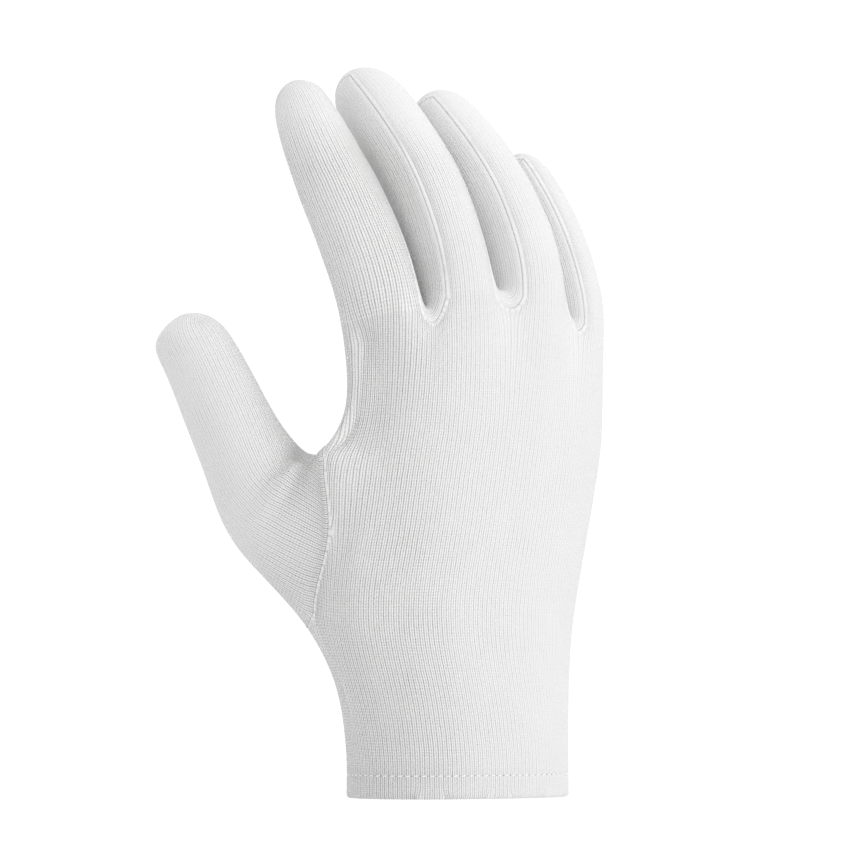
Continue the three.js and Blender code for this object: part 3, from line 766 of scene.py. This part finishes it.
def make_object(name, points, loops, cloth, material):
    mesh = bpy.data.meshes.new(name)
    mesh.from_pydata([tuple(p) for p in points / 1000], [], loops)
    layer = mesh.uv_layers.new(name="cloth")
    layer.data.foreach_set("uv", np.array([uv for spots_here in cloth for uv in spots_here], float).ravel())
    mesh.polygons.foreach_set("use_smooth", [True] * len(mesh.polygons))
    mesh.materials.append(material)
    mesh.validate()
    made = bpy.data.objects.new(name, mesh)
    bpy.context.scene.collection.objects.link(made)
    return made


print("ready to cut", len(PIECES), "pieces")

# %% [markdown]
# ## The knit
#
# Interlock cotton shows fine ribs along the cloth, two to a repeat with every second groove deeper, and
# across them the small slanted legs of the stitches. The yarn is uneven, so depth wanders, and with it the
# shade painted into the grooves: the lower the knit, the darker its colour.
# It is bleached white, fully matt, with a soft fuzz that catches light at the edges. Where the hand fills
# the glove tightly, over the knuckles, towards the little finger and at the fingertips, the knit is
# stretched flat. `KNIT_DEPTH` says how much relief, and with it how much painted groove shade, is left, by
# millimetres from the thumb's side, and the `TIPS` values say between which heights, in metres, it goes
# down at the fingertips, and to what share.

# %% Knit material
COURSE = 0.9
WANDER, STITCH_SHARE, GROOVE_SHARE, YARN_SHARE = 0.25, 0.4, 0.5, 0.5
WANDER_SCALE, PATCH_SCALE, YARN_SCALE = 160, 70, 900
PATCH_GAIN, PATCH_SHIFT = 1.6, -0.2
CREST_POWER, GROOVE_POWER, LEG_SLANT = 2.4, 6.0, 0.4
RELIEF = 0.00034
THUMB_SIDE, ACROSS, MIDDLE_HEIGHT = 80, 140, 0.2
KNIT_DEPTH = [(4, 0.4), (14, 0.5), (27, 1.0), (40, 1.1), (51, 1.1), (73, 0.6), (100, 0.4), (130, 0.4)]
TIPS_FROM, TIPS_TO, TIPS_SHARE = 0.196, 0.212, 0.4
# Painted shade: the grooves are coloured darker than the white of the crests.
GROOVE_PAINTED_SHADE, CREST_COLOUR, CREST_AT = (0.735, 0.735, 0.74, 1), (0.86, 0.86, 0.856, 1), 0.8


def knit_material(name):
    material = bpy.data.materials.new(name)
    material.use_nodes = True
    tree = material.node_tree
    nodes, links = tree.nodes, tree.links
    shader = nodes["Principled BSDF"]

    def math_node(kind, a, b=None, c=None):
        node = nodes.new("ShaderNodeMath")
        node.operation = kind
        for socket, value in zip(node.inputs, (a, b, c)):
            if value is None:
                continue
            if isinstance(value, (int, float)):
                socket.default_value = value
            else:
                links.new(value, socket)
        return node.outputs[0]

    def noise_node(vector, scale):
        node = nodes.new("ShaderNodeTexNoise")
        node.inputs["Scale"].default_value = scale
        node.inputs["Detail"].default_value = 2.0
        links.new(vector, node.inputs["Vector"])
        return node.outputs["Fac"]

    cloth = nodes.new("ShaderNodeUVMap")
    cloth.uv_map = "cloth"
    split = nodes.new("ShaderNodeSeparateXYZ")
    links.new(cloth.outputs["UV"], split.inputs[0])
    place = nodes.new("ShaderNodeTexCoord").outputs["Object"]
    wander = math_node("MULTIPLY", math_node("SUBTRACT", noise_node(place, WANDER_SCALE), 0.5), WANDER)
    across = math_node("ADD", split.outputs["X"], wander)
    along = math_node("DIVIDE", split.outputs["Y"], COURSE)
    wale = math_node("FRACT", math_node("MULTIPLY", across, 2.0))
    from_middle = math_node("ABSOLUTE", math_node("SUBTRACT", math_node("MULTIPLY", wale, 2.0), 1.0))
    crest = math_node("SUBTRACT", 1.0, math_node("POWER", from_middle, CREST_POWER))
    leg = math_node("MULTIPLY_ADD", from_middle, LEG_SLANT, along)
    wave = math_node("COSINE", math_node("MULTIPLY", leg, 2 * math.pi))
    stitch = math_node("MULTIPLY_ADD", wave, 0.5, 0.5)
    double = math_node("ABSOLUTE", math_node("MULTIPLY_ADD", math_node("FRACT", across), 2.0, -1.0))
    groove = math_node("POWER", double, GROOVE_POWER)
    patch = math_node("MULTIPLY_ADD", noise_node(place, PATCH_SCALE), PATCH_GAIN, PATCH_SHIFT)
    height = math_node("MULTIPLY", crest, math_node("MULTIPLY_ADD", stitch, STITCH_SHARE, 1 - STITCH_SHARE))
    height = math_node("MULTIPLY_ADD", math_node("MULTIPLY", groove, patch), -GROOVE_SHARE, height)
    height = math_node("MULTIPLY_ADD", noise_node(place, YARN_SCALE), YARN_SHARE, height)
    stretch = nodes.new("ShaderNodeValToRGB")
    for position, depth in KNIT_DEPTH:
        stop = stretch.color_ramp.elements.new(position / ACROSS)
        stop.color = (depth, depth, depth, 1)
    for end in (0, -1):
        stretch.color_ramp.elements.remove(stretch.color_ramp.elements[end])
    where = nodes.new("ShaderNodeSeparateXYZ")
    links.new(place, where.inputs[0])
    links.new(math_node("MULTIPLY_ADD", where.outputs["X"], 1000 / ACROSS, THUMB_SIDE / ACROSS),
              stretch.inputs["Fac"])
    at_tips = nodes.new("ShaderNodeMapRange")
    limits = {"From Min": TIPS_FROM, "From Max": TIPS_TO, "To Min": 1.0, "To Max": TIPS_SHARE}
    for socket, value in limits.items():
        at_tips.inputs[socket].default_value = value
    links.new(where.outputs["Z"], at_tips.inputs["Value"])
    # depth_here scales the bump and the painted shade in the grooves alike.
    depth_here = math_node("MULTIPLY", stretch.outputs["Color"], at_tips.outputs[0])
    height = math_node("MULTIPLY", math_node("SUBTRACT", height, MIDDLE_HEIGHT), depth_here)
    height = math_node("ADD", height, MIDDLE_HEIGHT)
    bump = nodes.new("ShaderNodeBump")
    bump.inputs["Strength"].default_value = 1.0
    bump.inputs["Distance"].default_value = RELIEF
    links.new(height, bump.inputs["Height"])
    links.new(bump.outputs["Normal"], shader.inputs["Normal"])
    # The colour is painted shade: it follows the same height as the bump, darker in the grooves, lighter on
    # the crests.
    ramp = nodes.new("ShaderNodeValToRGB")
    ramp.color_ramp.elements[0].position = 0.0
    ramp.color_ramp.elements[0].color = GROOVE_PAINTED_SHADE
    ramp.color_ramp.elements[1].position = CREST_AT
    ramp.color_ramp.elements[1].color = CREST_COLOUR
    links.new(height, ramp.inputs["Fac"])
    links.new(ramp.outputs["Color"], shader.inputs["Base Color"])
    shader.inputs["Roughness"].default_value = 0.95
    shader.inputs["Specular IOR Level"].default_value = 0.15
    shader.inputs["Sheen Weight"].default_value = 0.15
    shader.inputs["Sheen Roughness"].default_value = 0.5
    return material


knit = knit_material("cotton_knit")
print("knit material with", len(knit.node_tree.nodes), "nodes")

# %% [markdown]
# Now the pieces are cut, one object each, and take the place of their plain solids.

# %% Cut the sewn pieces
for piece in PIECES:
    wall = HEM_WALL if piece == "cuff_hem" else KNIT_WALL
    cut = make_object(piece + "_knit", *cut_piece(piece, wall), knit)
    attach(cut, "root")
    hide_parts(piece)
    print(cut.name, len(cut.data.polygons), "faces")

# %% [markdown]
# ## The hem's stitches
#
# The turned edge is held by a row of short cotton stitches in the shallow groove at the top of the hem.
# Each is a small capsule that dips into the knit at both ends.

# %% Hem stitches
STITCH, STITCH_GAP, THREAD = 1.7, 0.8, 0.42
STITCH_RISE, STITCH_SUNK, STITCH_TILT = 0.12, 0.24, 0.18
STEPS, SIDES = 6, 8


def stitch_row():
    ring = [int(c) for c in np.intersect1d(points_of("hand_panel"), points_of("cuff_hem"))]
    middle = skin[ring].mean(axis=0)
    ring.sort(key=lambda c: math.atan2(skin[c][1] - middle[1], skin[c][0] - middle[0]))
    loop = np.vstack([skin[ring], skin[ring[:1]]])
    ways = np.vstack([skin_normals[ring], skin_normals[ring[:1]]])
    steps = np.concatenate([[0], np.cumsum(np.linalg.norm(np.diff(loop, axis=0), axis=1))])
    count = int(steps[-1] / (STITCH + STITCH_GAP))
    points, loops = [], []
    for number in range(count):
        start = (number + 0.15) * steps[-1] / count
        first = len(points)
        for s in range(STEPS + 1):
            share = s / STEPS
            at = start + STITCH * share
            spot = np.array([np.interp(at, steps, loop[:, k]) for k in range(3)])
            out = unit(np.array([np.interp(at, steps, ways[:, k]) for k in range(3)]))
            lift = STITCH_RISE * math.sin(math.pi * share) - STITCH_SUNK
            tilt = STITCH_TILT * (share - 0.5) * (1 if number % 2 else 0.4)
            radius = THREAD / 2 * math.sin(math.pi * (0.12 + 0.76 * share)) ** 0.5
            for side in range(SIDES):
                turn = 2 * math.pi * side / SIDES
                points.append(spot + out * lift + np.array([0, 0, tilt])
                              + out * math.cos(turn) * radius + UP * math.sin(turn) * radius)
        for s in range(STEPS):
            for side in range(SIDES):
                a, b = first + SIDES * s + side, first + SIDES * s + (side + 1) % SIDES
                loops.append([a, b, b + SIDES, a + SIDES])
        loops.append([first + side for side in range(SIDES - 1, -1, -1)])
        loops.append([first + SIDES * STEPS + side for side in range(SIDES)])
    return np.array(points), loops, [[(0, 0)] * len(sides) for sides in loops], count


thread = bpy.data.materials.new("cotton_thread")
thread.use_nodes = True
thread_shader = thread.node_tree.nodes["Principled BSDF"]
thread_shader.inputs["Base Color"].default_value = (0.9, 0.9, 0.895, 1)
thread_shader.inputs["Roughness"].default_value = 0.85
points, loops, cloth, count = stitch_row()
stitches = make_object("hem_stitches", points, loops, cloth, thread)
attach(stitches, "root")
print(count, "stitches round the hem")

# %% [markdown]
# ## Floor, light and camera
#
# The photograph is a catalogue picture: white ground, soft even light, brightest from the right, and a
# long lens from the thumb's side of the back. The glove is held up at its opening, so the pale floor
# lies below it and no contact shadow touches the hem.

# %% Floor
def stage_floor():
    size, depth = 30.0, -1.5
    mesh = bpy.data.meshes.new("floor")
    mesh.from_pydata([(-size, -size, depth), (size, -size, depth), (size, size, depth),
                      (-size, size, depth)], [], [(0, 1, 2, 3)])
    floor = bpy.data.objects.new("floor", mesh)
    bpy.context.scene.collection.objects.link(floor)
    pale = bpy.data.materials.new("pale_floor")
    pale.use_nodes = True
    shader = pale.node_tree.nodes["Principled BSDF"]
    shader.inputs["Base Color"].default_value = (0.93, 0.93, 0.93, 1)
    shader.inputs["Roughness"].default_value = 0.9
    shader.inputs["Emission Color"].default_value = (1, 1, 1, 1)
    shader.inputs["Emission Strength"].default_value = 0.75
    mesh.materials.append(pale)
    floor.visible_diffuse = False
    return floor


floor = stage_floor()
print("floor at", floor.data.vertices[0].co.z, "m")

# %% [markdown]
# Light: a white surround for the high key, a broad soft key lamp from the right, a little above the
# hand, a weak one behind the right edge and one high above. A lamp stands so many metres to the right, to
# the camera's side (`view`) and up, and has a power in watts.

# %% Light
AZIMUTH = -32
LAMP_SIZE, LAMP_AIM = 0.9, 0.11
LAMPS = [
    dict(name="key", right=1.2, view=0.7, up=0.4, power=4.8),
    dict(name="edge", right=1.2, view=-0.6, up=0.61, power=1),
    dict(name="above", right=0, view=0, up=1.71, power=4),
]
view_way = Vector((math.sin(turned(AZIMUTH)), -math.cos(turned(AZIMUTH)), 0))
right_way = Vector((math.cos(turned(AZIMUTH)), math.sin(turned(AZIMUTH)), 0))
world = bpy.data.worlds.new("studio")
bpy.context.scene.world = world
world.use_nodes = True
world_nodes, world_links = world.node_tree.nodes, world.node_tree.links
surround = world_nodes["Background"]
surround.inputs["Color"].default_value = (1, 1, 1, 1)
surround.inputs["Strength"].default_value = 0.9
seen = world_nodes.new("ShaderNodeBackground")
seen.inputs["Color"].default_value = (1, 1, 1, 1)
seen.inputs["Strength"].default_value = 1.05
choice = world_nodes.new("ShaderNodeMixShader")
path = world_nodes.new("ShaderNodeLightPath")
world_links.new(path.outputs["Is Camera Ray"], choice.inputs[0])
world_links.new(surround.outputs[0], choice.inputs[1])
world_links.new(seen.outputs[0], choice.inputs[2])
world_links.new(choice.outputs[0], world_nodes["World Output"].inputs["Surface"])


def soft_lamp(name, right, view, up, power):
    lamp = bpy.data.lights.new(name, "AREA")
    lamp.shape = "DISK"
    lamp.size = LAMP_SIZE
    lamp.energy = power
    holder = bpy.data.objects.new(name, lamp)
    place = right_way * right + view_way * view + Vector((0, 0, up))
    holder.location = place
    aim = Vector((0, 0, LAMP_AIM)) - place
    holder.rotation_euler = aim.to_track_quat("-Z", "Y").to_euler()
    bpy.context.scene.collection.objects.link(holder)
    return holder


lamps = [soft_lamp(**row) for row in LAMPS]
print("lamps of", [round(lamp.data.energy, 1) for lamp in lamps], "watts")

# %% [markdown]
# The camera looks level from the thumb's side of the back, from far off, with the photograph's 0.31 mm to
# the pixel. The middle of the hem lies at `HEM_ACROSS` and `HEM_DOWN` pixels of the picture.

# %% Camera
SCALE, PICTURE, SENSOR = 0.31, 867, 36
HEM_ACROSS, HEM_DOWN = 458, 797
middle_across, middle_up = (PICTURE / 2 - HEM_ACROSS) * SCALE, (HEM_DOWN - PICTURE / 2) * SCALE
DISTANCE = 4.0
camera_data = bpy.data.cameras.new("camera")
camera = bpy.data.objects.new("camera", camera_data)
bpy.context.scene.collection.objects.link(camera)
camera_data.sensor_width = SENSOR
camera_data.lens = SENSOR * DISTANCE * 1000 / (PICTURE * SCALE)
camera_data.clip_end = 100
aim = right_way * (middle_across / 1000) + Vector((0, 0, middle_up / 1000))
camera.location = aim + view_way * DISTANCE
camera.rotation_euler = (-view_way).to_track_quat("-Z", "Y").to_euler()
bpy.context.scene.camera = camera
bpy.context.scene.view_settings.view_transform = "Standard"
print("camera", DISTANCE, "m away, lens", round(camera_data.lens), "mm")
